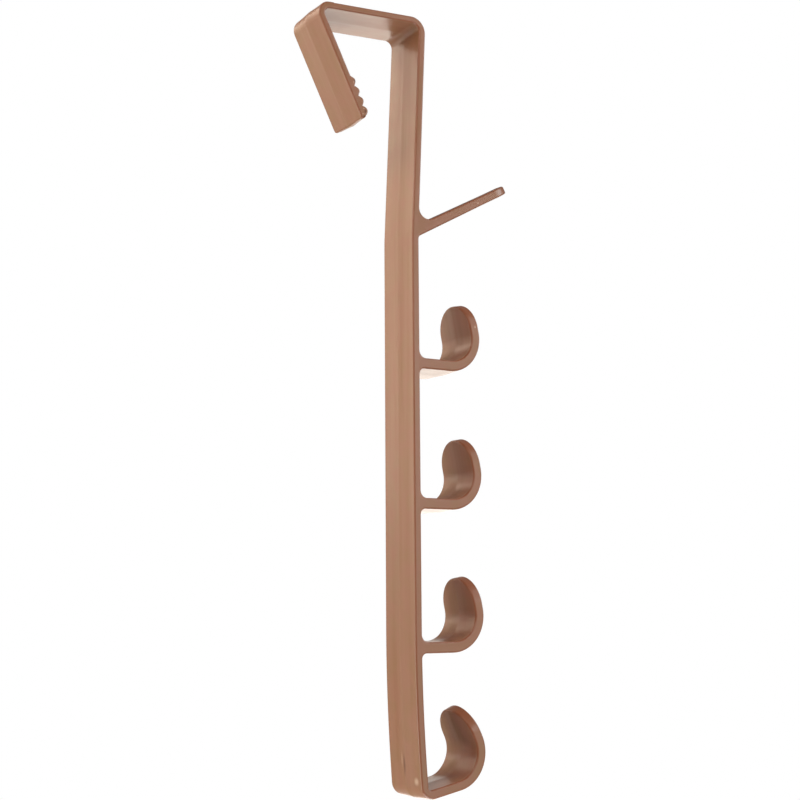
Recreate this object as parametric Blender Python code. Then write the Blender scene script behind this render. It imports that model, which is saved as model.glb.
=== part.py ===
"""Over-the-door hook rack: one long moulded strip with a sprung clip at the top.

Metres, +Z up. The origin is the middle of the bridge's underside, which sits on the
top edge of the door. +X points into the room, away from the door, and Y runs along
the door's width. The side outline lies in the XZ plane and the strip is spread evenly
in Y. The real rack is one moulding; here it is divided at its working borders, with a
narrow seam at each.
"""

import math

import bmesh
import bpy
from mathutils import Vector

# The strip
strip_width = 0.0304
strap_thick = 0.0042
crown = 0.00045
edge_round = 0.0006
seam = 0.0003

# The bridge over the door
seat_length = 0.0611
bridge_slope_deg = 4.0
bridge_thick = 0.0035
room_bend_radius = 0.0042
room_bend_leg = 0.0040

# The neck and the back strap
neck_length = 0.1195
neck_lean_deg = 2.7
flare_length = 0.0688
flare_radius = 1.000
lowest_hook_on_flare = 0.0125

# The grip arm
grip_thick = 0.0037
grip_length = 0.0622
grip_angle_deg = 67.7
grip_bend_radius = 0.0031
grip_end_round = 0.0008
knuckle_face_deg = 40.0
ridge_count = 4
ridge_pitch = 0.00565
ridge_height = 0.0019
ridge_to_end = 0.0005

# The straight peg for clothes hangers
peg_rise_deg = 29.0
peg_above_bend = 0.0008
peg_root_thick = 0.0056
peg_tip_thick = 0.0045
peg_straight = 0.0585
peg_upper_fillet = 0.0055
peg_lower_fillet = 0.0030

# The J-hooks
hook_count = 3
hook_pitch = 0.0749
first_hook_drop = 0.0750
hook_rise_deg = 0.5
hook_root_thick = 0.0058
hook_curl_thick = 0.0053
hook_thinning_share = 0.5
hook_arm_length = 0.0197
hook_radius = 0.0194
hook_lean_deg = 10.9
hook_tip_straight = 0.0029
tip_round_length = 0.0146
hook_upper_fillet = 0.0041
hook_lower_fillet = 0.0029

# The foot, where the strap itself turns up into the last hook
foot_rise_deg = 11.4
foot_root_thick = 0.0049
foot_arm_length = 0.0244
foot_hook_radius = 0.0193
foot_lean_deg = 13.7
foot_tip_straight = 0.0023
foot_bend_outer_radius = 0.0071
foot_bend_inner_radius = 0.0013
foot_leg = 0.0115

# Fineness of the curves
edge_round_angles_deg = (0.0, 45.0, 90.0)
tip_angles_deg = (0.0, 15.0, 30.0, 45.0, 58.0, 70.0, 79.0, 85.0)
fillet_steps = 3
bend_steps = 8
hook_arc_steps = 14
ridge_steps = 6
flare_steps = 6
narrow_tip_share = 0.4
smooth_angle_deg = 35.0

# The plastic
plastic_colour = (0.305, 0.141, 0.084, 1.0)
plastic_roughness = 0.3


def clear_scene():
    """Start from an empty scene."""
    for thing in list(bpy.data.objects):
        bpy.data.objects.remove(thing, do_unlink=True)


def heading(degrees):
    """Unit vector in the XZ plane, turned up from +X."""
    turn = math.radians(degrees)
    return Vector((math.cos(turn), math.sin(turn)))


def left_of(direction):
    """The direction a quarter turn to the left."""
    return Vector((-direction.y, direction.x))


def turned(vector, turn):
    """The vector turned left by an angle in radians."""
    cosine = math.cos(turn)
    sine = math.sin(turn)
    return Vector((vector.x * cosine - vector.y * sine, vector.x * sine + vector.y * cosine))


def meet(point, direction, other_point, other_direction):
    """Where two lines of the XZ plane cross."""
    across = direction.x * other_direction.y - direction.y * other_direction.x
    between = other_point - point
    along = (between.x * other_direction.y - between.y * other_direction.x) / across
    return point + direction * along


def even_shares(steps):
    """Shares from nought to one in even steps."""
    return [step / steps for step in range(steps + 1)]


def blend_value(start, end, share):
    """The value at a share of the way from start to end."""
    return start + (end - start) * share


def corner_arc(corner, toward_start, toward_end, radius, shares):
    """Arc that rounds a corner, from the leg toward_start to the leg toward_end."""
    half = toward_start.angle(toward_end) / 2
    centre = corner + (toward_start + toward_end).normalized() * (radius / math.sin(half))
    spoke = corner + toward_start * (radius / math.tan(half)) - centre
    side = toward_start.x * toward_end.y - toward_start.y * toward_end.x
    turn = math.copysign(math.pi - 2 * half, -side)
    return [centre + turned(spoke, turn * share) for share in shares]


def root_fillet(corner, along_face, along_limb, radius):
    """Fillet from a carrying face to the limb that grows from it, begun one seam off the face."""
    turn = math.pi - along_face.angle(along_limb)
    first = math.acos(1 - seam / radius) / turn
    shares = [blend_value(first, 1, share) for share in even_shares(fillet_steps)]
    return corner_arc(corner, along_face, along_limb, radius, shares)


def section_columns(width):
    """Across the strip: each column's y, and how far its surface stands proud there.

    The edges are rounded, and the mould's draft leaves both broad faces
    highest along the middle.
    """
    half = width / 2
    radius = min(edge_round, half * narrow_tip_share)
    near_edge = []
    for degrees in edge_round_angles_deg:
        turn = math.radians(degrees)
        y = radius - radius * math.cos(turn) - half
        draft = crown * (1 + y / (strip_width / 2))
        near_edge.append((y, radius * math.sin(turn) - radius + draft))
    far_edge = [(-y, rise) for y, rise in reversed(near_edge)]
    return near_edge + [(0.0, crown)] + far_edge


def side_normals(points):
    """For a row of points, the normals on the left of the way along it."""
    normals = []
    for index in range(len(points)):
        before = points[max(index - 1, 0)]
        after = points[min(index + 1, len(points) - 1)]
        normals.append(left_of((after - before).normalized()))
    return normals


def make_material(name):
    """Glossy reddish-brown plastic."""
    material = bpy.data.materials.new(name + "_plastic")
    material.use_nodes = True
    shader = material.node_tree.nodes["Principled BSDF"]
    shader.inputs["Base Color"].default_value = plastic_colour
    shader.inputs["Roughness"].default_value = plastic_roughness
    shader.inputs["Metallic"].default_value = 0.0
    return material


def make_limb(name, left, right, widths, start_normals=None, end_crown=0.0, pivot=None):
    """One closed strip between two side curves of the XZ plane.

    Going along the limb, left and right are its two broad faces at the strip's edges.
    start_normals, where given, lay the first ring flush on the face that carries it.
    end_crown bows the end face outward at mid-width, as the draft does.
    """
    left_out = side_normals(left)
    right_out = [-normal for normal in side_normals(right)]
    if start_normals:
        left_out[0] = start_normals[0]
        right_out[0] = start_normals[1]
    forward = -left_of((left[-1] - right[-1]).normalized())
    offset = pivot or Vector((0.0, 0.0))
    mesh = bmesh.new()
    rings = []
    for station, width in enumerate(widths):
        ring = ([], [])
        for y, rise in section_columns(width):
            push = Vector((0.0, 0.0))
            if station == len(widths) - 1:
                push = forward * (end_crown * (1 - abs(y) / (strip_width / 2)))
            for side, points, normals in ((0, left, left_out), (1, right, right_out)):
                spot = points[station] + normals[station] * rise + push - offset
                ring[side].append(mesh.verts.new((spot.x, y, spot.y)))
        rings.append(ring)
    columns = len(rings[0][0])
    for near, far in zip(rings, rings[1:]):
        for side in (0, 1):
            for column in range(columns - 1):
                nxt = column + 1
                mesh.faces.new((near[side][column], near[side][nxt], far[side][nxt], far[side][column]))
        for column in (0, columns - 1):
            mesh.faces.new((near[0][column], near[1][column], far[1][column], far[0][column]))
    for ring in (rings[0], rings[-1]):
        for column in range(columns - 1):
            nxt = column + 1
            mesh.faces.new((ring[0][column], ring[0][nxt], ring[1][nxt], ring[1][column]))
    bmesh.ops.recalc_face_normals(mesh, faces=mesh.faces)
    data = bpy.data.meshes.new(name)
    mesh.to_mesh(data)
    mesh.free()
    data.shade_smooth()
    data.set_sharp_from_angle(angle=math.radians(smooth_angle_deg))
    data.materials.append(make_material(name))
    limb = bpy.data.objects.new(name, data)
    limb.location = (offset.x, 0.0, offset.y)
    bpy.context.scene.collection.objects.link(limb)
    return limb


def rounded_tip(left_base, right_base, forward):
    """Stations of a full-round tip, and the strip's width at each."""
    left = []
    right = []
    widths = []
    for degrees in tip_angles_deg:
        turn = math.radians(degrees)
        step = forward * (tip_round_length * math.sin(turn))
        left.append(left_base + step)
        right.append(right_base + step)
        widths.append(strip_width * math.cos(turn))
    return left, right, widths


def curl_and_tip(arm_end, along, root_thick, radius, lean_deg, tip_straight):
    """The curl of a J-hook and its tip, from the lower side of its arm's end."""
    up = left_of(along)
    centre = arm_end + up * radius
    turn = math.radians(90 + lean_deg)
    left = []
    right = []
    for share in even_shares(hook_arc_steps):
        spoke = along * math.sin(turn * share) - up * math.cos(turn * share)
        thick = blend_value(root_thick, hook_curl_thick, min(1.0, share / hook_thinning_share))
        left.append(centre + spoke * (radius - thick))
        right.append(centre + spoke * radius)
    forward = along * math.cos(turn) + up * math.sin(turn)
    straight = forward * tip_straight
    tip_left, tip_right, tip_widths = rounded_tip(left[-1] + straight, right[-1] + straight, forward)
    widths = [strip_width] * len(left) + tip_widths
    return left + tip_left, right + tip_right, widths


def side_of_bar(axis_start, along, root_thick, tip_thick, length, side):
    """A point on the side of a tapering bar, and the direction of that side."""
    across = left_of(along) * side
    start = axis_start + across * (root_thick / 2)
    end = axis_start + along * length + across * (tip_thick / 2)
    return start, (end - start).normalized()


# Directions of the straight stretches, each going down or out along the strip
bridge_along = heading(bridge_slope_deg)
neck_down = heading(-90 - neck_lean_deg)
back_down = heading(-90)
grip_down = heading(bridge_slope_deg - grip_angle_deg)

# Inner corners of the clip, and the ends of the straight stretches on the door side
room_corner = bridge_along * (seat_length / 2)
grip_corner = bridge_along * (-seat_length / 2)
neck_end = room_corner + neck_down * neck_length
back_length = first_hook_drop + hook_pitch * (hook_count - 1) - lowest_hook_on_flare
back_end = neck_end + back_down * back_length
neck_out = left_of(neck_down)
back_out = left_of(back_down)

# The flex axis of the grip arm is the centre of its bend
grip_bend_half = math.radians(grip_angle_deg) / 2
grip_bisector = (bridge_along + grip_down).normalized()
flex_axis = grip_corner + grip_bisector * (grip_bend_radius / math.sin(grip_bend_half))
knuckle_radius = grip_bend_radius + grip_thick


def flare_point(travel):
    """A point of the strap's door side on the flare, and the way down there."""
    turn = travel / flare_radius
    sideways = flare_radius * (1 - math.cos(turn))
    down = flare_radius * math.sin(turn)
    spot = back_end + back_down * down + back_out * sideways
    return spot, turned(back_down, turn)


def bridge_end():
    """Where the bridge stops, clear of the grip arm's knuckle, on its underside and top."""
    facing = heading(bridge_slope_deg + knuckle_face_deg)
    across = left_of(facing)
    clear = flex_axis + facing * (knuckle_radius + crown + seam)
    up = left_of(bridge_along)
    underside = meet(clear, across, grip_corner, bridge_along)
    top = meet(clear, across, grip_corner + up * bridge_thick, bridge_along)
    return underside, top


def build_top_bridge():
    """The bridge that sits on the door, with the bend down to the neck."""
    up = left_of(bridge_along)
    underside, top = bridge_end()
    outer_corner = meet(room_corner + up * bridge_thick, bridge_along,
                        room_corner + neck_out * strap_thick, neck_down)
    shares = even_shares(bend_steps)
    inner = corner_arc(room_corner, -bridge_along, neck_down, room_bend_radius, shares)
    outer = corner_arc(outer_corner, -bridge_along, neck_down, room_bend_radius + strap_thick, shares)
    leg_end = inner[-1] + neck_down * room_bend_leg
    left = [top] + outer + [leg_end + neck_out * strap_thick]
    right = [underside] + inner + [leg_end]
    return make_limb("top_bridge", left, right, [strip_width] * len(left))


def neck_start():
    """Where the neck begins on its door side, one seam below the bridge's leg."""
    inner = corner_arc(room_corner, -bridge_along, neck_down, room_bend_radius, even_shares(1))
    return inner[-1] + neck_down * (room_bend_leg + seam)


def build_neck_strap():
    """The leaning strap from the bridge down to the root of the peg."""
    right = [neck_start(), neck_end - neck_down * seam]
    left = [spot + neck_out * strap_thick for spot in right]
    return make_limb("neck_strap", left, right, [strip_width] * len(right))


def build_back_strap():
    """The strap that lies along the door, with its slight flare at the foot."""
    right = [neck_end]
    left = [neck_end + back_out * strap_thick]
    for share in even_shares(flare_steps):
        spot, down = flare_point(flare_length * share)
        right.append(spot)
        left.append(spot + left_of(down) * strap_thick)
    return make_limb("back_strap", left, right, [strip_width] * len(right))


def build_hanger_peg():
    """The straight peg, with fillets where it grows from the strap."""
    along = heading(peg_rise_deg)
    neck_face = neck_end + neck_out * strap_thick
    back_face = neck_end + back_out * strap_thick
    axis_start = back_face - back_down * peg_above_bend
    length = peg_straight + tip_round_length
    upper, upper_way = side_of_bar(axis_start, along, peg_root_thick, peg_tip_thick, length, 1)
    lower, lower_way = side_of_bar(axis_start, along, peg_root_thick, peg_tip_thick, length, -1)
    upper_corner = meet(upper, upper_way, neck_face, neck_down)
    lower_corner = meet(lower, lower_way, back_face, back_down)
    left = root_fillet(upper_corner, -neck_down, upper_way, peg_upper_fillet)
    right = root_fillet(lower_corner, back_down, lower_way, peg_lower_fillet)
    across = left_of(along) * (peg_tip_thick / 2)
    tip_base = axis_start + along * peg_straight
    tip_left, tip_right, tip_widths = rounded_tip(tip_base + across, tip_base - across, along)
    widths = [strip_width] * len(left) + tip_widths
    return make_limb("hanger_peg", left + tip_left, right + tip_right, widths, (neck_out, back_out))


def build_hook(name, drop):
    """One J-hook on the back strap, its arm's lower side this far below the neck's end."""
    along = heading(hook_rise_deg)
    face = neck_end + back_out * strap_thick
    start = face + back_down * drop
    upper_corner = meet(start + left_of(along) * hook_root_thick, along, face, back_down)
    left = root_fillet(upper_corner, -back_down, along, hook_upper_fillet)
    right = root_fillet(start, back_down, along, hook_lower_fillet)
    arm_end = start + along * hook_arm_length
    curl_left, curl_right, widths = curl_and_tip(arm_end, along, hook_root_thick, hook_radius,
                                                 hook_lean_deg, hook_tip_straight)
    widths = [strip_width] * len(left) + widths
    return make_limb(name, left + curl_left, right + curl_right, widths, (back_out, back_out))


def build_foot_hook():
    """The last hook, which the strap's own end makes by turning up."""
    top, down = flare_point(flare_length)
    out = left_of(down)
    along = heading(foot_rise_deg)
    up = left_of(along)
    start = top + down * seam
    bend_corner = start + down * (foot_leg + foot_bend_outer_radius)
    inner_corner = meet(start + out * strap_thick, down, bend_corner + up * foot_root_thick, along)
    shares = even_shares(bend_steps)
    outer = corner_arc(bend_corner, -down, along, foot_bend_outer_radius, shares)
    inner = corner_arc(inner_corner, -down, along, foot_bend_inner_radius, shares)
    arm_end = bend_corner + along * foot_arm_length
    curl_left, curl_right, widths = curl_and_tip(arm_end, along, foot_root_thick, foot_hook_radius,
                                                 foot_lean_deg, foot_tip_straight)
    left = [start + out * strap_thick] + inner + curl_left
    right = [start] + outer + curl_right
    widths = [strip_width] * (len(inner) + 1) + widths
    return make_limb("foot_hook", left, right, widths)


def ridge_stations():
    """Travel down the grip arm and height of the gripping ridges, from root to end."""
    stations = []
    first = grip_length - ridge_to_end - ridge_pitch * ridge_count
    for index in range(ridge_count):
        for share in even_shares(ridge_steps)[:-1]:
            travel = first + ridge_pitch * (index + share)
            stations.append((travel, ridge_height * math.sin(math.pi * share)))
    stations.append((grip_length - ridge_to_end, 0.0))
    return stations


def build_grip_arm():
    """The sprung arm with its round knuckle, and four ridges that bite the door."""
    up = left_of(bridge_along)
    inward = left_of(grip_down)
    grip_back = grip_corner - inward * grip_thick
    outer_corner = meet(grip_corner + up * grip_thick, bridge_along, grip_back, grip_down)
    shares = even_shares(bend_steps)
    inner = corner_arc(grip_corner, bridge_along, grip_down, grip_bend_radius, shares)
    outer = corner_arc(outer_corner, bridge_along, grip_down, knuckle_radius, shares)
    underside_turn = math.asin(grip_bend_radius / knuckle_radius)
    top_turn = 2 * math.radians(knuckle_face_deg) - underside_turn
    left = [flex_axis + turned(bridge_along * knuckle_radius, underside_turn)] + inner
    right = [flex_axis + turned(bridge_along * knuckle_radius, top_turn)] + outer
    for travel, height in ridge_stations():
        spot = grip_corner + grip_down * travel
        left.append(spot + inward * height)
        right.append(spot - inward * grip_thick)
    end = grip_corner + grip_down * grip_length
    left.append(end - inward * grip_end_round)
    right.append(end - inward * (grip_thick - grip_end_round))
    widths = [strip_width] * len(left)
    return make_limb("grip_arm", left, right, widths, end_crown=crown, pivot=flex_axis)


def build_rack():
    """Every piece of the rack."""
    clear_scene()
    build_top_bridge()
    build_neck_strap()
    build_back_strap()
    build_hanger_peg()
    names = ("upper_hook", "middle_hook", "lower_hook")
    for index in range(hook_count):
        build_hook(names[index], first_hook_drop + hook_pitch * index)
    build_foot_hook()
    build_grip_arm()


build_rack()
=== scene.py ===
"""Looks of the over-the-door hook rack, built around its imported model.

Metres, +Z up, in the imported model's own frame: the origin is the middle of the bridge's
underside, +X points into the room, away from the door, and the strip is spread evenly in
Y. The real rack is one glossy moulding, so the pieces here meet edge to edge, with no
seam between them, and each stands for the node of its own place.
"""

import math
from collections import namedtuple

import bmesh
import bpy
from mathutils import Matrix, Vector
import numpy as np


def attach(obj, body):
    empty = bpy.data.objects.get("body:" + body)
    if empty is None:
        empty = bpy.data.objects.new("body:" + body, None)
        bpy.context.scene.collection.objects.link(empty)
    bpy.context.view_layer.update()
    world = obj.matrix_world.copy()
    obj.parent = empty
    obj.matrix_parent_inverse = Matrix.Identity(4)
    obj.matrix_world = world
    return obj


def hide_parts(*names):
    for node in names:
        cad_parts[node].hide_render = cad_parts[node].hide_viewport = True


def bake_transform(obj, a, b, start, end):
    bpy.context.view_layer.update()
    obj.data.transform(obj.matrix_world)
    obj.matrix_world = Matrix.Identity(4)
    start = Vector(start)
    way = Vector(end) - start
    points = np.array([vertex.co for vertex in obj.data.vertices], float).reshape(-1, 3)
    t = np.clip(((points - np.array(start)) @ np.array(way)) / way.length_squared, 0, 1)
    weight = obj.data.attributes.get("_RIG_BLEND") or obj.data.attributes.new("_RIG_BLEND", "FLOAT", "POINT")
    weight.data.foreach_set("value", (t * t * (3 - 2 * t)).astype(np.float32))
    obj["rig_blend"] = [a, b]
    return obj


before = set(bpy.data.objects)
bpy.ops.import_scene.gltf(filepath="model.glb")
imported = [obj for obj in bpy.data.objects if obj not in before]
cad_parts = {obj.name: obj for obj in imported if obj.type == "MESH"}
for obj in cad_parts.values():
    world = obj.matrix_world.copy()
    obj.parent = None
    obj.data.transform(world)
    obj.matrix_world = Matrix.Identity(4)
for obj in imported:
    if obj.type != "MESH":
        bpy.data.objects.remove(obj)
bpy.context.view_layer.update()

# The strip
strip_width = 0.0304
strap_thick = 0.0042
crown = 0.00045
crown_power = 2.0
crease_softness = 0.0009
edge_round = 0.0010

# The bridge over the door
seat_length = 0.0611
bridge_slope_deg = 4.0
bridge_thick = 0.0035
room_bend_radius = 0.0042
room_bend_leg = 0.0040

# The neck and the back strap
neck_length = 0.1195
neck_lean_deg = 2.7
kink_radius = 0.160
flare_length = 0.0688
flare_radius = 1.000
lowest_hook_on_flare = 0.0125

# The grip arm
grip_thick = 0.0037
grip_length = 0.0622
grip_angle_deg = 67.7
grip_bend_radius = 0.0031
grip_end_round = 0.0008
grip_corner_round = 0.0019
grip_border = 0.0072
grip_flex_reach = 0.0087
grip_flex_deg = -135.0
ridge_count = 4
ridge_pitch = 0.00565
ridge_height = 0.0019
ridge_to_end = 0.0005

# The straight peg for clothes hangers
peg_rise_deg = 29.0
peg_above_bend = 0.0008
peg_root_thick = 0.0056
peg_tip_thick = 0.0045
peg_straight = 0.0585
peg_upper_fillet = 0.0055
peg_lower_fillet = 0.0030

# The J-hooks
hook_names = ("upper_hook", "middle_hook", "lower_hook")
hook_count = len(hook_names)
hook_pitch = 0.0749
first_hook_drop = 0.0750
hook_rise_deg = 0.5
hook_root_thick = 0.0058
hook_curl_thick = 0.0053
hook_thinning_share = 0.5
hook_arm_length = 0.0197
hook_radius = 0.0194
hook_lean_deg = 10.9
hook_tip_straight = 0.0029
tip_round_length = 0.0146
hook_upper_fillet = 0.0041
hook_lower_fillet = 0.0029

# The foot, where the strap itself turns up into the last hook
foot_rise_deg = 11.4
foot_root_thick = 0.0049
foot_arm_length = 0.0244
foot_hook_radius = 0.0193
foot_lean_deg = 13.7
foot_tip_straight = 0.0023
foot_bend_outer_radius = 0.0071
foot_bend_inner_radius = 0.0013
foot_leg = 0.0115

# Fineness of the curves
edge_steps = 6
face_shares = (0.03, 0.063, 0.16, 0.34, 0.56, 0.78)
fillet_steps = 10
bend_steps = 16
kink_steps = 4
curl_steps = 44
tip_steps = 18
ridge_steps = 12
flare_steps = 10
end_steps = 5
merge_distance = 0.000001

# The camera, fitted to the photograph
camera_place = Vector((-0.367681, -0.641618, -0.327476))
camera_forward = Vector((0.516044, 0.842011, 0.157217))
camera_right = Vector((0.853112, -0.521690, -0.006203))
camera_up = Vector((-0.076795, -0.137325, 0.987544))
camera_lens_mm = 63.68
sensor_width_mm = 36.0
camera_clip_start = 0.01

# The plastic: its colours, and how often its streaks and blotches repeat per metre
red_brown = (0.310, 0.123, 0.066)
olive_brown = (0.290, 0.129, 0.060)
pale_brown = (0.36, 0.165, 0.10)
# The colours of the marks below, which also paint the scar's shade and the highlights at the foot
dark_nick_and_shade_brown = (0.13, 0.045, 0.022)
pale_nick_and_highlight_colour = (0.64, 0.40, 0.28)
mark_core_share = 0.3
plastic_ior = 1.5
smooth_roughness = 0.285
dull_roughness = 0.33
streak_share = 0.45
streak_height = 0.00011
streak_stretch = (9.0, 260.0, 60.0)
streak_detail = 2.0
streak_range_shares = (0.3, 0.7)
blotch_stretch = (110.0, 110.0, 110.0)
blotch_detail = 1.0
blotch_range_shares = (0.35, 0.65)
dull_range_shares = (0.3, 0.7)
# Painted shade: a deeper red-brown laid along the middles of the rounded edges
painted_edge_shade_brown = (0.27, 0.085, 0.040)
painted_edge_shade_strength = 0.8

# Small marks: nicks on the near wall and the ridges, and on the door side at the foot the scar of the gate,
# as painted shade with a painted highlight on its lit side, and beside it a painted highlight on the foot's
# bend
near_wall = -strip_width / 2
Mark = namedtuple("Mark", "place reach share")
pale_nicks_and_painted_highlights = (
    # Nicks on the peg
    Mark(Vector((0.0403, near_wall, -0.1040)), Vector((0.0006, 0.0010, 0.0013)), share=0.8),
    Mark(Vector((0.0680, near_wall, -0.0953)), Vector((0.0008, 0.0010, 0.0005)), share=0.8),
    # A fleck on the upper hook
    Mark(Vector((0.0648, near_wall, -0.1662)), Vector((0.0005, 0.0010, 0.0009)), share=0.8),
    # Nicks on the ridges
    Mark(Vector((-0.0115, near_wall, -0.0405)), Vector((0.0004, 0.0010, 0.0009)), share=0.7),
    Mark(Vector((-0.0053, near_wall, -0.0542)), Vector((0.0008, 0.0010, 0.0004)), share=0.6),
    Mark(Vector((-0.0058, near_wall, -0.0571)), Vector((0.0006, 0.0010, 0.0005)), share=0.6),
    # The painted highlight on the scar's lit side, and the painted highlight on the foot's bend
    Mark(Vector((0.0271, 0.0022, -0.3960)), Vector((0.0020, 0.0009, 0.0050)), share=0.25),
    Mark(Vector((0.0277, -0.0103, -0.4065)), Vector((0.0025, 0.0026, 0.0024)), share=0.6),
)
dark_nicks_and_painted_shade = (
    # Commas at the peg's root
    Mark(Vector((0.0303, near_wall, -0.1073)), Vector((0.0008, 0.0010, 0.0008)), share=0.7),
    Mark(Vector((0.0323, near_wall, -0.1053)), Vector((0.0007, 0.0010, 0.0007)), share=0.7),
    # The dark parts of the ridges' nicks
    Mark(Vector((-0.0108, near_wall, -0.0398)), Vector((0.0008, 0.0010, 0.0012)), share=0.8),
    Mark(Vector((-0.0044, near_wall, -0.0555)), Vector((0.0008, 0.0010, 0.0015)), share=0.8),
    Mark(Vector((-0.0054, near_wall, -0.0586)), Vector((0.0012, 0.0010, 0.0006)), share=0.7),
    # The scar, with painted shade on its dark side
    Mark(Vector((0.0272, -0.0002, -0.3985)), Vector((0.0025, 0.0012, 0.0065)), share=0.7),
)

# The light: even surroundings, brighter to the camera than to the rack, and softboxes that
# stand round the middle of the rack
warm = (1.0, 0.82, 0.66)
soft_warm = (1.0, 0.93, 0.84)
neutral = (1.0, 1.0, 1.0)
soft_cool = (0.87, 0.98, 1.0)
cool = (0.74, 0.99, 1.0)
backdrop_strength = 1.0
ambient_strength = 0.20
rack_middle = Vector((0.02, 0.0, -0.2))
softbox_distance = 1.2
softbox_watts_per_area = 4.0
Softbox = namedtuple("Softbox", "name azimuth_deg height width tall strength colour")
softboxes = (
    Softbox("door_side_high", -120, 0.50, 1.30, 0.70, strength=2.35, colour=warm),
    Softbox("door_side_top", -78, 0.65, 0.50, 0.50, strength=2.80, colour=neutral),
    Softbox("door_side_back", -58, 0.33, 0.34, 1.15, strength=2.30, colour=cool),
    Softbox("door_side_low", -68, -0.66, 0.85, 0.85, strength=2.70, colour=cool),
    Softbox("strap_glow", -29, 0.36, 0.25, 1.10, strength=2.10, colour=warm),
    Softbox("strap_low_glow", -27, -0.20, 0.22, 0.26, strength=0.60, colour=soft_cool),
    Softbox("strap_top_glow", -26, 0.65, 0.25, 0.50, strength=1.60, colour=warm),
    Softbox("behind_low", 12, -0.65, 0.45, 0.60, strength=0.70, colour=neutral),
    Softbox("room_side_low", 35, -0.58, 0.45, 0.75, strength=2.25, colour=soft_warm),
    Softbox("room_side_level", 35, -0.05, 0.40, 0.35, strength=0.75, colour=soft_warm),
    Softbox("front_right", 120, 0.30, 0.70, 1.10, strength=3.39, colour=soft_cool),
    Softbox("front", 165, -0.05, 0.70, 0.40, strength=2.80, colour=neutral),
    Softbox("front_low", 150, -0.60, 0.45, 0.55, strength=0.95, colour=cool),
)
overhead_place = Vector((-0.7, 0.2, 0.8))
overhead_width = 0.8
overhead_strength = 1.46
floor_bounce_drop = 1.0
floor_bounce_width = 0.9
floor_bounce_strength = 4.00

# The floor
floor_height = -1.3
floor_radius = 1.6
floor_segments = 96
floor_colour = (0.86, 0.86, 0.86, 1.0)
floor_roughness = 0.7

# Places of a mix node's colour sockets, whose names its sockets of other kinds share
first_colour_socket = 6
second_colour_socket = 7
mixed_colour_socket = 2

# One cross-section of the strip: a point of each side curve with the way along the curve
# there, half the width, the outline normal's parts along and across the strip, and the bow
# that a blunt end has at its middle
Station = namedtuple("Station", "left left_way right right_way half along across bow",
                     defaults=(Vector((0.0, 0.0)),))


def heading(degrees):
    """Unit vector in the XZ plane, turned up from +X."""
    turn = math.radians(degrees)
    return Vector((math.cos(turn), math.sin(turn)))


def left_of(direction):
    """The direction a quarter turn to the left."""
    return Vector((-direction.y, direction.x))


def turned(vector, turn):
    """The vector turned left by an angle in radians."""
    cosine = math.cos(turn)
    sine = math.sin(turn)
    return Vector((vector.x * cosine - vector.y * sine, vector.x * sine + vector.y * cosine))


def meet(point, direction, other_point, other_direction):
    """Where two lines of the XZ plane cross."""
    across = direction.x * other_direction.y - direction.y * other_direction.x
    between = other_point - point
    along = (between.x * other_direction.y - between.y * other_direction.x) / across
    return point + direction * along


def even_shares(steps):
    """Shares from nought to one in even steps."""
    return [step / steps for step in range(steps + 1)]


def arc(corner, toward_start, toward_end, radius, steps):
    """Arc that rounds a corner: its points, each with the way along it there."""
    half = toward_start.angle(toward_end) / 2
    centre = corner + (toward_start + toward_end).normalized() * (radius / math.sin(half))
    spoke = corner + toward_start * (radius / math.tan(half)) - centre
    side = toward_start.x * toward_end.y - toward_start.y * toward_end.x
    turn = math.copysign(math.pi - 2 * half, -side)
    return [(centre + turned(spoke, turn * share), turned(-toward_start, turn * share))
            for share in even_shares(steps)]


def full_width(left, right):
    """Stations of the strip's full width from its two side curves, point by point."""
    return [Station(left_point, left_way, right_point, right_way, strip_width / 2, 0.0, 1.0)
            for (left_point, left_way), (right_point, right_way) in zip(left, right)]


def draft_rise(y):
    """How far a broad face stands proud at y, from its edges up to its softened crest."""
    return crown * crest_share(y) ** crown_power


def draft_slope(y):
    """How much a broad face's normal leans along Y at y."""
    slope = crown * crown_power / (strip_width / 2) * crest_share(y) ** (crown_power - 1)
    return slope * max(-1.0, min(1.0, y / crease_softness))


def crest_share(y):
    """Share of the way from the strip's edge to its middle, with the crease softened."""
    far = abs(y)
    if far < crease_softness:
        far = (y * y + crease_softness ** 2) / (2 * crease_softness)
    return max(0.0, 1 - far / (strip_width / 2))


def face_columns(half, along, across):
    """Columns over one broad face, from the near wall round both edges to the far one.

    Each is its y, its shift along the strip, its rise, and its normal's parts along the
    outline's own normal, out of the face and along Y. along and across are that outline
    normal, which turns round the end of a full-round tip.
    """
    near = []
    for share in even_shares(edge_steps):
        turn = math.pi / 2 * share
        inset = edge_round * (1 - math.cos(turn))
        y = across * inset - half
        rise = edge_round * math.sin(turn) - edge_round + draft_rise(y)
        lean = draft_slope(y) * math.sin(turn)
        near.append((y, -along * inset, rise, math.cos(turn), math.sin(turn), lean))
    inner = half - across * edge_round
    middle = []
    for share in [-share for share in reversed(face_shares)] + [0.0] + list(face_shares):
        y = inner * share
        middle.append((y, -along * edge_round, draft_rise(y), 0.0, 1.0, draft_slope(y)))
    far = [(-y, shift, rise, out, up, -lean) for y, shift, rise, out, up, lean in reversed(near)]
    return near + middle + far


def in_space(flat, y):
    """A vector of the XZ plane with its Y part."""
    return Vector((flat.x, y, flat.y))


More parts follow.
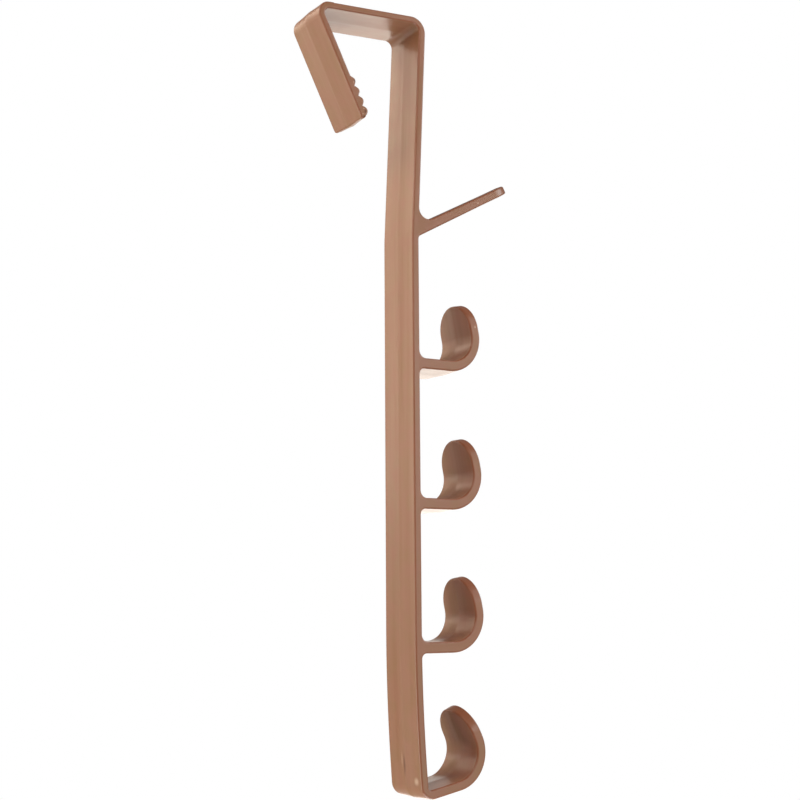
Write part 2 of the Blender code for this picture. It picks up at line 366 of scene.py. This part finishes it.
def add_ring(mesh, facing, station):
    """One ring of vertices round the strip: the left face's columns, then the right's."""
    ring = []
    sides = ((station.left, station.left_way, 1), (station.right, station.right_way, -1))
    for point, way, side in sides:
        up = left_of(way) * side
        row = []
        for y, shift, rise, out, above, lean in face_columns(station.half, station.along, station.across):
            spot = point + way * shift + up * rise + station.bow * crest_share(y)
            outward = in_space(way * station.along, math.copysign(station.across, y))
            normal = outward * out + in_space(up * above, lean)
            vertex = mesh.verts.new(in_space(spot, y))
            vertex[facing] = normal.normalized()
            row.append(vertex)
        ring.append(row)
    return ring


def painted_edge_shade_share(normal):
    """Share of the painted shade on a rounded edge: one in its middle, and nought on the broad faces and the
    walls.
    """
    across = abs(normal.y)
    return 2 * across * math.sqrt(max(0.0, 1 - across * across))


def mark_pattern(mesh, rings, stations):
    """Store what the plastic's pattern follows: the melt's way, the place at rest, and the share of painted
    shade on the rounded edges.

    The third part of the melt's way holds the height where the piece starts and which face
    it is, so that the streaks of one hook or face don't repeat on the next.
    """
    facing, flow, rest = [mesh.verts.layers.float_vector[name] for name in ("facing", "flow", "rest")]
    painted_edge_shade = mesh.verts.layers.float["painted_edge_shade"]
    travel = 0.0
    middles = [(station.left + station.right) / 2 for station in stations]
    for ring, middle, before in zip(rings, middles, middles[:1] + middles):
        travel += (middle - before).length
        for row, side in zip(ring, (1, -1)):
            for vertex in row:
                vertex[flow] = (travel, vertex.co.y, middles[0].y + side * strap_thick)
                vertex[rest] = vertex.co
                vertex[painted_edge_shade] = painted_edge_shade_share(vertex[facing])


def add_cap(mesh, ring):
    """Close the strip at one of its ends."""
    left, right = ring
    for column in range(len(left) - 1):
        mesh.faces.new((left[column], left[column + 1], right[column + 1], right[column]))


def add_piece(name, mesh):
    """Turn a closed mesh into an object whose normals are the facing stored in the mesh."""
    bmesh.ops.remove_doubles(mesh, verts=mesh.verts, dist=merge_distance)
    bmesh.ops.recalc_face_normals(mesh, faces=mesh.faces)
    data = bpy.data.meshes.new(name)
    mesh.to_mesh(data)
    mesh.free()
    data.shade_smooth()
    normals = [value.vector[:] for value in data.attributes["facing"].data]
    data.attributes.remove(data.attributes["facing"])
    data.normals_split_custom_set_from_vertices(normals)
    piece = bpy.data.objects.new(name, data)
    bpy.context.scene.collection.objects.link(piece)
    return piece


def make_strip(name, stations, closed_end=False):
    """One closed piece of the strip through these stations.

    closed_end is for a piece that runs out to nothing, as a full-round tip does.
    """
    mesh = bmesh.new()
    for layer in ("facing", "flow", "rest"):
        mesh.verts.layers.float_vector.new(layer)
    mesh.verts.layers.float.new("painted_edge_shade")
    facing = mesh.verts.layers.float_vector["facing"]
    rings = [add_ring(mesh, facing, station) for station in stations]
    mark_pattern(mesh, rings, stations)
    last = len(rings[0][0]) - 1
    for near, far in zip(rings, rings[1:]):
        for side in (0, 1):
            for column in range(last):
                mesh.faces.new((near[side][column], near[side][column + 1],
                                far[side][column + 1], far[side][column]))
        for column in (0, last):
            mesh.faces.new((near[0][column], near[1][column], far[1][column], far[0][column]))
    add_cap(mesh, rings[0])
    if not closed_end:
        add_cap(mesh, rings[-1])
    return add_piece(name, mesh)


def rounded_tip(left_base, right_base, forward):
    """Stations of a full-round tip."""
    stations = []
    half_width = strip_width / 2
    for share in even_shares(tip_steps):
        turn = math.pi / 2 * share
        step = forward * (tip_round_length * math.sin(turn))
        slant = Vector((math.sin(turn) / tip_round_length, math.cos(turn) / half_width)).normalized()
        half = half_width * math.cos(turn)
        stations.append(Station(left_base + step, forward, right_base + step, forward,
                                half, slant.x, slant.y))
    return stations


def curl_and_tip(arm_end, along, root_thick, radius, lean_deg, tip_straight):
    """The curl of a J-hook and its tip, from the lower side of its arm's end.

    Over hook_thinning_share of the curl its thickness eases from the root's to the curl's
    own. pace is how fast it changes with the turn, which leans the inner side.
    """
    up = left_of(along)
    centre = arm_end + up * radius
    turn = math.radians(90 + lean_deg)
    left = []
    right = []
    for share in even_shares(curl_steps):
        spoke = along * math.sin(turn * share) - up * math.cos(turn * share)
        way = left_of(spoke)
        part = min(1.0, share / hook_thinning_share)
        thinning = (hook_curl_thick - root_thick) * part * part * (3 - 2 * part)
        pace = (hook_curl_thick - root_thick) * 6 * part * (1 - part) / (hook_thinning_share * turn)
        inner_radius = radius - root_thick - thinning
        left.append((centre + spoke * inner_radius, (way * inner_radius - spoke * pace).normalized()))
        right.append((centre + spoke * radius, way))
    forward = along * math.cos(turn) + up * math.sin(turn)
    straight = forward * tip_straight
    tip = rounded_tip(left[-1][0] + straight, right[-1][0] + straight, forward)
    return full_width(left, right) + tip


# Directions of the straight stretches, each going down or out along the strip
bridge_along = heading(bridge_slope_deg)
neck_down = heading(-90 - neck_lean_deg)
back_down = heading(-90)
grip_down = heading(bridge_slope_deg - grip_angle_deg)
bridge_up = left_of(bridge_along)
neck_out = left_of(neck_down)
back_out = left_of(back_down)

# Inner corners of the clip, and the ends of the straight stretches on the door side
room_corner = bridge_along * (seat_length / 2)
grip_corner = bridge_along * (-seat_length / 2)
neck_end = room_corner + neck_down * neck_length
back_length = first_hook_drop + hook_pitch * (hook_count - 1) - lowest_hook_on_flare
back_end = neck_end + back_down * back_length


def strap_point(travel):
    """A point of the strap's door side this far below the neck's end, and the way down there."""
    if travel <= back_length:
        return neck_end + back_down * travel, back_down
    turn = (travel - back_length) / flare_radius
    sideways = flare_radius * (1 - math.cos(turn))
    down = flare_radius * math.sin(turn)
    return back_end + back_down * down + back_out * sideways, turned(back_down, turn)


def peg_sides():
    """Upper and lower side curves of the peg, from the strap to where its tip begins."""
    along = heading(peg_rise_deg)
    across = left_of(along)
    root = neck_end + back_out * strap_thick - back_down * peg_above_bend
    tip_base = root + along * peg_straight
    curves = []
    faces = ((1, neck_end + neck_out * strap_thick, neck_down, peg_upper_fillet),
             (-1, neck_end + back_out * strap_thick, back_down, peg_lower_fillet))
    for side, face, down, fillet in faces:
        start = root + across * (side * peg_root_thick / 2)
        end = tip_base + across * (side * peg_tip_thick / 2)
        way = (end - start).normalized()
        corner = meet(start, way, face, down)
        curves.append(arc(corner, down * -side, way, fillet, fillet_steps) + [(end, way)])
    return curves


def moulded_bridge():
    """The bridge, with the bend down to the neck."""
    border = grip_corner + bridge_along * grip_border
    outer_corner = meet(room_corner + bridge_up * bridge_thick, bridge_along,
                        room_corner + neck_out * strap_thick, neck_down)
    inner = arc(room_corner, -bridge_along, neck_down, room_bend_radius, bend_steps)
    outer = arc(outer_corner, -bridge_along, neck_down, room_bend_radius + strap_thick, bend_steps)
    leg_end = inner[-1][0] + neck_down * room_bend_leg
    left = [(border + bridge_up * bridge_thick, bridge_along)] + outer
    left.append((leg_end + neck_out * strap_thick, neck_down))
    right = [(border, bridge_along)] + inner + [(leg_end, neck_down)]
    return make_strip("moulded_bridge", full_width(left, right)), leg_end


def kink_stations():
    """The soft kink between neck and back strap, whose room side lies under the peg's root."""
    upper, lower = peg_sides()
    top = upper[0][0]
    foot = lower[0][0]
    way = (foot - top).normalized()
    right = arc(neck_end, -neck_down, back_down, kink_radius, 2 * kink_steps)
    left = [(top + (foot - top) * ((top.y - spot.y) / (top.y - foot.y)), way) for spot, _ in right]
    stations = full_width(left, right)
    above = full_width([(top, neck_down)], [(top - neck_out * strap_thick, neck_down)])
    below = full_width([(foot, back_down)], [(foot - back_out * strap_thick, back_down)])
    return above + stations[:kink_steps + 1], stations[kink_steps:] + below


def moulded_neck(leg_end):
    """The leaning strap from the bridge down to the root of the peg."""
    start = full_width([(leg_end + neck_out * strap_thick, neck_down)], [(leg_end, neck_down)])
    return make_strip("moulded_neck", start + kink_stations()[0])


def moulded_back():
    """The strap that lies along the door, slightly flared at its foot."""
    left = []
    right = []
    for share in even_shares(flare_steps):
        spot, down = strap_point(back_length + flare_length * share)
        right.append((spot, down))
        left.append((spot + left_of(down) * strap_thick, down))
    return make_strip("moulded_back", kink_stations()[1] + full_width(left, right))


def moulded_peg():
    """The straight sloping peg for clothes hangers."""
    upper, lower = peg_sides()
    along = heading(peg_rise_deg)
    tip = rounded_tip(upper[-1][0], lower[-1][0], along)
    return make_strip("moulded_peg", full_width(upper[:-1], lower[:-1]) + tip, closed_end=True)


def moulded_hook(name, drop):
    """One J-hook, its arm's lower side this far below the neck's end."""
    along = heading(hook_rise_deg)
    spot, down = strap_point(drop - hook_root_thick / 2)
    face = spot + left_of(down) * strap_thick
    flat_start = neck_end + back_out * strap_thick + back_down * drop
    start = meet(flat_start, along, face, down)
    upper_corner = meet(flat_start + left_of(along) * hook_root_thick, along, face, down)
    left = arc(upper_corner, -down, along, hook_upper_fillet, fillet_steps)
    right = arc(start, down, along, hook_lower_fillet, fillet_steps)
    arm_end = flat_start + along * hook_arm_length
    stations = full_width(left, right)
    stations += curl_and_tip(arm_end, along, hook_root_thick, hook_radius, hook_lean_deg,
                             hook_tip_straight)
    return make_strip(name, stations, closed_end=True)


def moulded_foot():
    """The last hook, which the strap's own end makes by turning up."""
    start, down = strap_point(back_length + flare_length)
    out = left_of(down)
    along = heading(foot_rise_deg)
    up = left_of(along)
    bend_corner = start + down * (foot_leg + foot_bend_outer_radius)
    inner_corner = meet(start + out * strap_thick, down, bend_corner + up * foot_root_thick, along)
    outer = arc(bend_corner, -down, along, foot_bend_outer_radius, bend_steps)
    inner = arc(inner_corner, -down, along, foot_bend_inner_radius, bend_steps)
    stations = full_width([(start + out * strap_thick, down)] + inner, [(start, down)] + outer)
    arm_end = bend_corner + along * foot_arm_length
    stations += curl_and_tip(arm_end, along, foot_root_thick, foot_hook_radius, foot_lean_deg,
                             foot_tip_straight)
    return make_strip("moulded_foot", stations, closed_end=True)


def ridge_face(inward):
    """The grip arm's inner face along its ridges."""
    points = []
    first = grip_length - ridge_to_end - ridge_pitch * ridge_count
    for index in range(ridge_count):
        for share in even_shares(ridge_steps)[:-1]:
            spot = grip_corner + grip_down * (first + ridge_pitch * (index + share))
            spot += inward * (ridge_height * math.sin(math.pi * share))
            slope = ridge_height * math.pi / ridge_pitch * math.cos(math.pi * share)
            if share == 0.0:
                slope = 0.0
            points.append((spot, (grip_down + inward * slope).normalized()))
    return points


def grip_end_station(left, left_way, right, right_way, travel):
    """A station of the grip arm, which its free end narrows where the corners are rounded."""
    into_round = travel - grip_length + grip_corner_round
    if into_round <= 0.0:
        return Station(left, left_way, right, right_way, strip_width / 2, 0.0, 1.0)
    turn = math.asin(min(1.0, into_round / grip_corner_round))
    half = strip_width / 2 - grip_corner_round * (1 - math.cos(turn))
    bow = grip_down * (crown * math.sin(turn))
    return Station(left, left_way, right, right_way, half, 0.0, 1.0, bow)


def moulded_grip():
    """The sprung arm and its round knuckle, with four ridges that bite the door."""
    inward = left_of(grip_down)
    border = grip_corner + bridge_along * grip_border
    grip_back = grip_corner - inward * grip_thick
    outer_corner = meet(grip_corner + bridge_up * grip_thick, bridge_along, grip_back, grip_down)
    inner = arc(grip_corner, bridge_along, grip_down, grip_bend_radius, bend_steps)
    outer = arc(outer_corner, bridge_along, grip_down, grip_bend_radius + grip_thick, bend_steps)
    left = [(border, -bridge_along)] + inner
    right = [(border + bridge_up * grip_thick, -bridge_along)] + outer
    stations = full_width(left, right)
    for spot, way in ridge_face(inward):
        travel = (spot - grip_corner).dot(grip_down)
        back = grip_back + grip_down * travel
        stations.append(grip_end_station(spot, way, back, grip_down, travel))
    end = grip_corner + grip_down * grip_length
    inner = arc(end, -grip_down, -inward, grip_end_round, end_steps)
    outer = arc(end - inward * grip_thick, -grip_down, inward, grip_end_round, end_steps)
    for (spot, way), (back, back_way) in zip(inner, outer):
        travel = (spot - grip_corner).dot(grip_down)
        stations.append(grip_end_station(spot, way, back, back_way, travel))
    middle = end - inward * (grip_thick / 2)
    stations.append(grip_end_station(middle, -inward, middle, inward, grip_length))
    return make_strip("moulded_grip", stations, closed_end=True)


def add_node(tree, kind, **inputs):
    """A shader node with its inputs set by name, with _ for a blank."""
    node = tree.nodes.new(kind)
    for name, value in inputs.items():
        node.inputs[name.replace("_", " ")].default_value = value
    return node


def join(tree, source, target):
    """Link an output to an input."""
    tree.links.new(source, target)


def add_noise(tree, place, stretch, detail):
    """Even noise over a place stored in the mesh, finer where the stretch per metre is greater."""
    mapping = add_node(tree, "ShaderNodeMapping", Scale=stretch)
    noise = add_node(tree, "ShaderNodeTexNoise", Scale=1.0, Detail=detail)
    join(tree, place, mapping.inputs["Vector"])
    join(tree, mapping.outputs["Vector"], noise.inputs["Vector"])
    return noise.outputs["Fac"]


def add_range(tree, value, low, high, to_low, to_high):
    """A value spread from one range to another, and held at its ends."""
    node = add_node(tree, "ShaderNodeMapRange", From_Min=low, From_Max=high, To_Min=to_low, To_Max=to_high)
    join(tree, value, node.inputs["Value"])
    return node.outputs["Result"]


def add_mix(tree, share, first, second):
    """A mix of two colours, each of them fixed or an output."""
    node = tree.nodes.new("ShaderNodeMix")
    node.data_type = "RGBA"
    join(tree, share, node.inputs["Factor"])
    for value, place in ((first, first_colour_socket), (second, second_colour_socket)):
        if isinstance(value, tuple):
            node.inputs[place].default_value = (*value, 1.0)
        else:
            join(tree, value, node.inputs[place])
    return node.outputs[mixed_colour_socket]


def add_vector_math(tree, operation, vector, *values):
    """The outputs of a vector node whose first input is linked and whose others are fixed."""
    node = tree.nodes.new("ShaderNodeVectorMath")
    node.operation = operation
    join(tree, vector, node.inputs[0])
    for socket, value in zip(node.inputs[1:], values):
        socket.default_value = value
    return node.outputs


def add_spot(tree, place, mark):
    """A mark's share in its middle, at its place on the mesh at rest, and nought past its reach."""
    offset = add_vector_math(tree, "SUBTRACT", place, mark.place)["Vector"]
    scaled = add_vector_math(tree, "DIVIDE", offset, mark.reach)["Vector"]
    length = add_vector_math(tree, "LENGTH", scaled)["Value"]
    return add_range(tree, length, mark_core_share, 1.0, mark.share, 0.0)


def make_plastic():
    """Glossy reddish-brown plastic, with faint flow marks from the moulding, painted shade along its rounded
    edges, nicks, and a painted highlight and painted shade at the foot.
    """
    material = bpy.data.materials.new("brown_plastic")
    material.use_nodes = True
    tree = material.node_tree
    shader = tree.nodes["Principled BSDF"]
    shader.inputs["IOR"].default_value = plastic_ior
    places = {}
    for name, output in (("flow", "Vector"), ("rest", "Vector"), ("painted_edge_shade", "Fac")):
        node = tree.nodes.new("ShaderNodeAttribute")
        node.attribute_name = name
        places[name] = node.outputs[output]
    streak = add_noise(tree, places["flow"], streak_stretch, streak_detail)
    blotch = add_noise(tree, places["rest"], blotch_stretch, blotch_detail)
    redder = add_range(tree, blotch, *blotch_range_shares, 0.0, 1.0)
    colour = add_mix(tree, redder, olive_brown, red_brown)
    paler = add_range(tree, streak, *streak_range_shares, 0.0, streak_share)
    colour = add_mix(tree, paler, colour, pale_brown)
    # Painted shade: the rounded edges darkened towards a deeper red-brown
    darker = add_range(tree, places["painted_edge_shade"], 0.0, 1.0, 0.0, painted_edge_shade_strength)
    colour = add_mix(tree, darker, colour, painted_edge_shade_brown)
    # Pale nicks, and the painted highlights at the scar and on the foot's bend
    for mark in pale_nicks_and_painted_highlights:
        colour = add_mix(tree, add_spot(tree, places["rest"], mark), colour, pale_nick_and_highlight_colour)
    # Dark nicks, and the painted shade of the scar
    for mark in dark_nicks_and_painted_shade:
        colour = add_mix(tree, add_spot(tree, places["rest"], mark), colour, dark_nick_and_shade_brown)
    join(tree, colour, shader.inputs["Base Color"])
    rough = add_range(tree, blotch, *dull_range_shares, smooth_roughness, dull_roughness)
    join(tree, rough, shader.inputs["Roughness"])
    bump = add_node(tree, "ShaderNodeBump", Strength=1.0, Distance=streak_height)
    join(tree, streak, bump.inputs["Height"])
    join(tree, bump.outputs["Normal"], shader.inputs["Normal"])
    return material


def make_world():
    """Surroundings that are white to the camera and light the rack only softly."""
    world = bpy.data.worlds.new("studio")
    bpy.context.scene.world = world
    world.use_nodes = True
    tree = world.node_tree
    tree.nodes.clear()
    output = tree.nodes.new("ShaderNodeOutputWorld")
    path = tree.nodes.new("ShaderNodeLightPath")
    mix = tree.nodes.new("ShaderNodeMixShader")
    join(tree, path.outputs["Is Camera Ray"], mix.inputs["Fac"])
    for strength, socket in zip((ambient_strength, backdrop_strength), mix.inputs[1:]):
        shade = add_node(tree, "ShaderNodeBackground", Color=(*neutral, 1.0), Strength=strength)
        join(tree, shade.outputs["Background"], socket)
    join(tree, mix.outputs["Shader"], output.inputs["Surface"])


def add_softbox(name, place, width, tall, strength, colour):
    """A rectangular softbox that faces the rack."""
    data = bpy.data.lights.new(name, "AREA")
    data.shape = "RECTANGLE"
    data.size = width
    data.size_y = tall
    data.energy = softbox_watts_per_area * width * tall * strength
    data.color = colour
    box = bpy.data.objects.new(name, data)
    bpy.context.scene.collection.objects.link(box)
    box.visible_camera = False
    turn = (rack_middle - place).to_track_quat("-Z", "Y")
    box.matrix_world = Matrix.Translation(place) @ turn.to_matrix().to_4x4()


def make_lights():
    """The softboxes, one of them overhead, and the light that comes back up from the floor."""
    for box in softboxes:
        azimuth = math.radians(box.azimuth_deg)
        across = Vector((math.sin(azimuth), math.cos(azimuth), 0.0)) * softbox_distance
        place = Vector((rack_middle.x, rack_middle.y, box.height)) + across
        add_softbox(box.name, place, box.width, box.tall, box.strength, box.colour)
    place = rack_middle - Vector((0.0, 0.0, floor_bounce_drop))
    add_softbox("floor_bounce", place, floor_bounce_width, floor_bounce_width,
                floor_bounce_strength, soft_cool)
    add_softbox("overhead", overhead_place, overhead_width, overhead_width,
                overhead_strength, cool)


def make_camera():
    """The photograph's view."""
    data = bpy.data.cameras.new("photo_camera")
    data.sensor_width = sensor_width_mm
    data.lens = camera_lens_mm
    data.clip_start = camera_clip_start
    camera = bpy.data.objects.new("photo_camera", data)
    bpy.context.scene.collection.objects.link(camera)
    turn = Matrix((camera_right, camera_up, -camera_forward)).transposed()
    camera.matrix_world = Matrix.Translation(camera_place) @ turn.to_4x4()
    bpy.context.scene.camera = camera


def make_floor():
    """A plain pale floor, well below the hanging rack."""
    mesh = bmesh.new()
    bmesh.ops.create_circle(mesh, cap_ends=True, segments=floor_segments, radius=floor_radius)
    data = bpy.data.meshes.new("floor")
    mesh.to_mesh(data)
    mesh.free()
    floor = bpy.data.objects.new("floor", data)
    bpy.context.scene.collection.objects.link(floor)
    floor.location.z = floor_height
    material = bpy.data.materials.new("pale_floor")
    material.use_nodes = True
    shader = material.node_tree.nodes["Principled BSDF"]
    shader.inputs["Base Color"].default_value = floor_colour
    shader.inputs["Roughness"].default_value = floor_roughness
    data.materials.append(material)
    floor.visible_diffuse = False
    floor.visible_glossy = False
    floor.visible_shadow = False


def dress_piece(piece, node, plastic):
    """Give a piece its plastic, and hide the imported part of the node that it stands for."""
    piece.data.materials.append(plastic)
    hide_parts(node)


def place_piece(piece, node, plastic):
    """Dress a piece that is rigid, and fix it to the rack."""
    dress_piece(piece, node, plastic)
    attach(piece, "rack")


def place_grip(plastic):
    """The sprung arm, whose bend is spread across its knuckle from its border with the bridge."""
    grip = moulded_grip()
    dress_piece(grip, "grip_arm", plastic)
    flex_start = grip_corner + bridge_along * grip_border
    flex_end = flex_start + heading(grip_flex_deg) * grip_flex_reach
    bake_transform(grip, "rack", "grip", start=in_space(flex_start, 0.0), end=in_space(flex_end, 0.0))


def main():
    """Build the looks round the frame."""
    plastic = make_plastic()
    bridge, leg_end = moulded_bridge()
    place_piece(bridge, "top_bridge", plastic)
    place_piece(moulded_neck(leg_end), "neck_strap", plastic)
    place_piece(moulded_back(), "back_strap", plastic)
    place_piece(moulded_peg(), "hanger_peg", plastic)
    for index, name in enumerate(hook_names):
        hook = moulded_hook("moulded_" + name, first_hook_drop + hook_pitch * index)
        place_piece(hook, name, plastic)
    place_piece(moulded_foot(), "foot_hook", plastic)
    place_grip(plastic)
    make_floor()
    make_world()
    make_lights()
    make_camera()
    bpy.context.scene.view_settings.view_transform = "Standard"


main()
